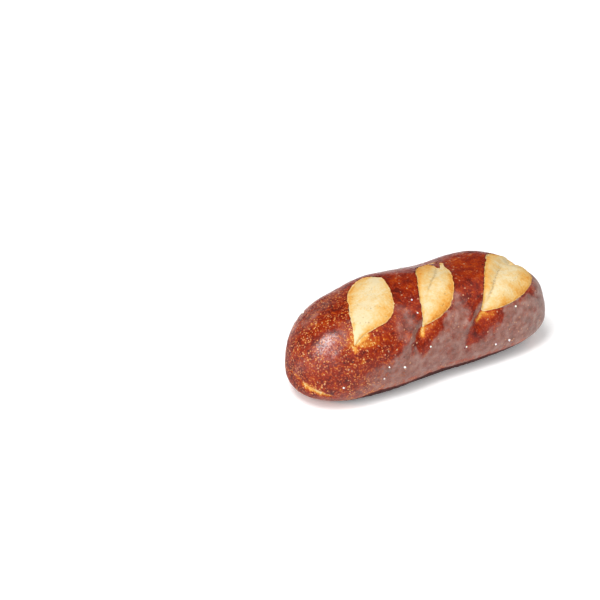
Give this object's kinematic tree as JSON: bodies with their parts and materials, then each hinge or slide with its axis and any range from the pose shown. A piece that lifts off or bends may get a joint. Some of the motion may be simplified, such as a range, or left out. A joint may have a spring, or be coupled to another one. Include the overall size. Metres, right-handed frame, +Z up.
{
  "type": "pretzel roll",
  "caption": "Oval lye-dipped bread roll: brown glossy crust, diagonal scores opened onto pale crumb, coarse salt grains and a flat base.",
  "frame": {"origin": "middle of the flat base, under the middle of the bounding box", "axes": "+X along the roll, from its rounder end to its blunter end; +Z up, out of the base; the side that the picture shows faces -Y"},
  "size_m": [0.15, 0.0676, 0.0492],
  "materials": {
    "crust": "baked lye crust, satin to glossy, with fine blisters; pale dry crumb inside the scores"
  },
  "bodies": {
    "root": {"roll": "crust"}
  },
  "joints": []
}
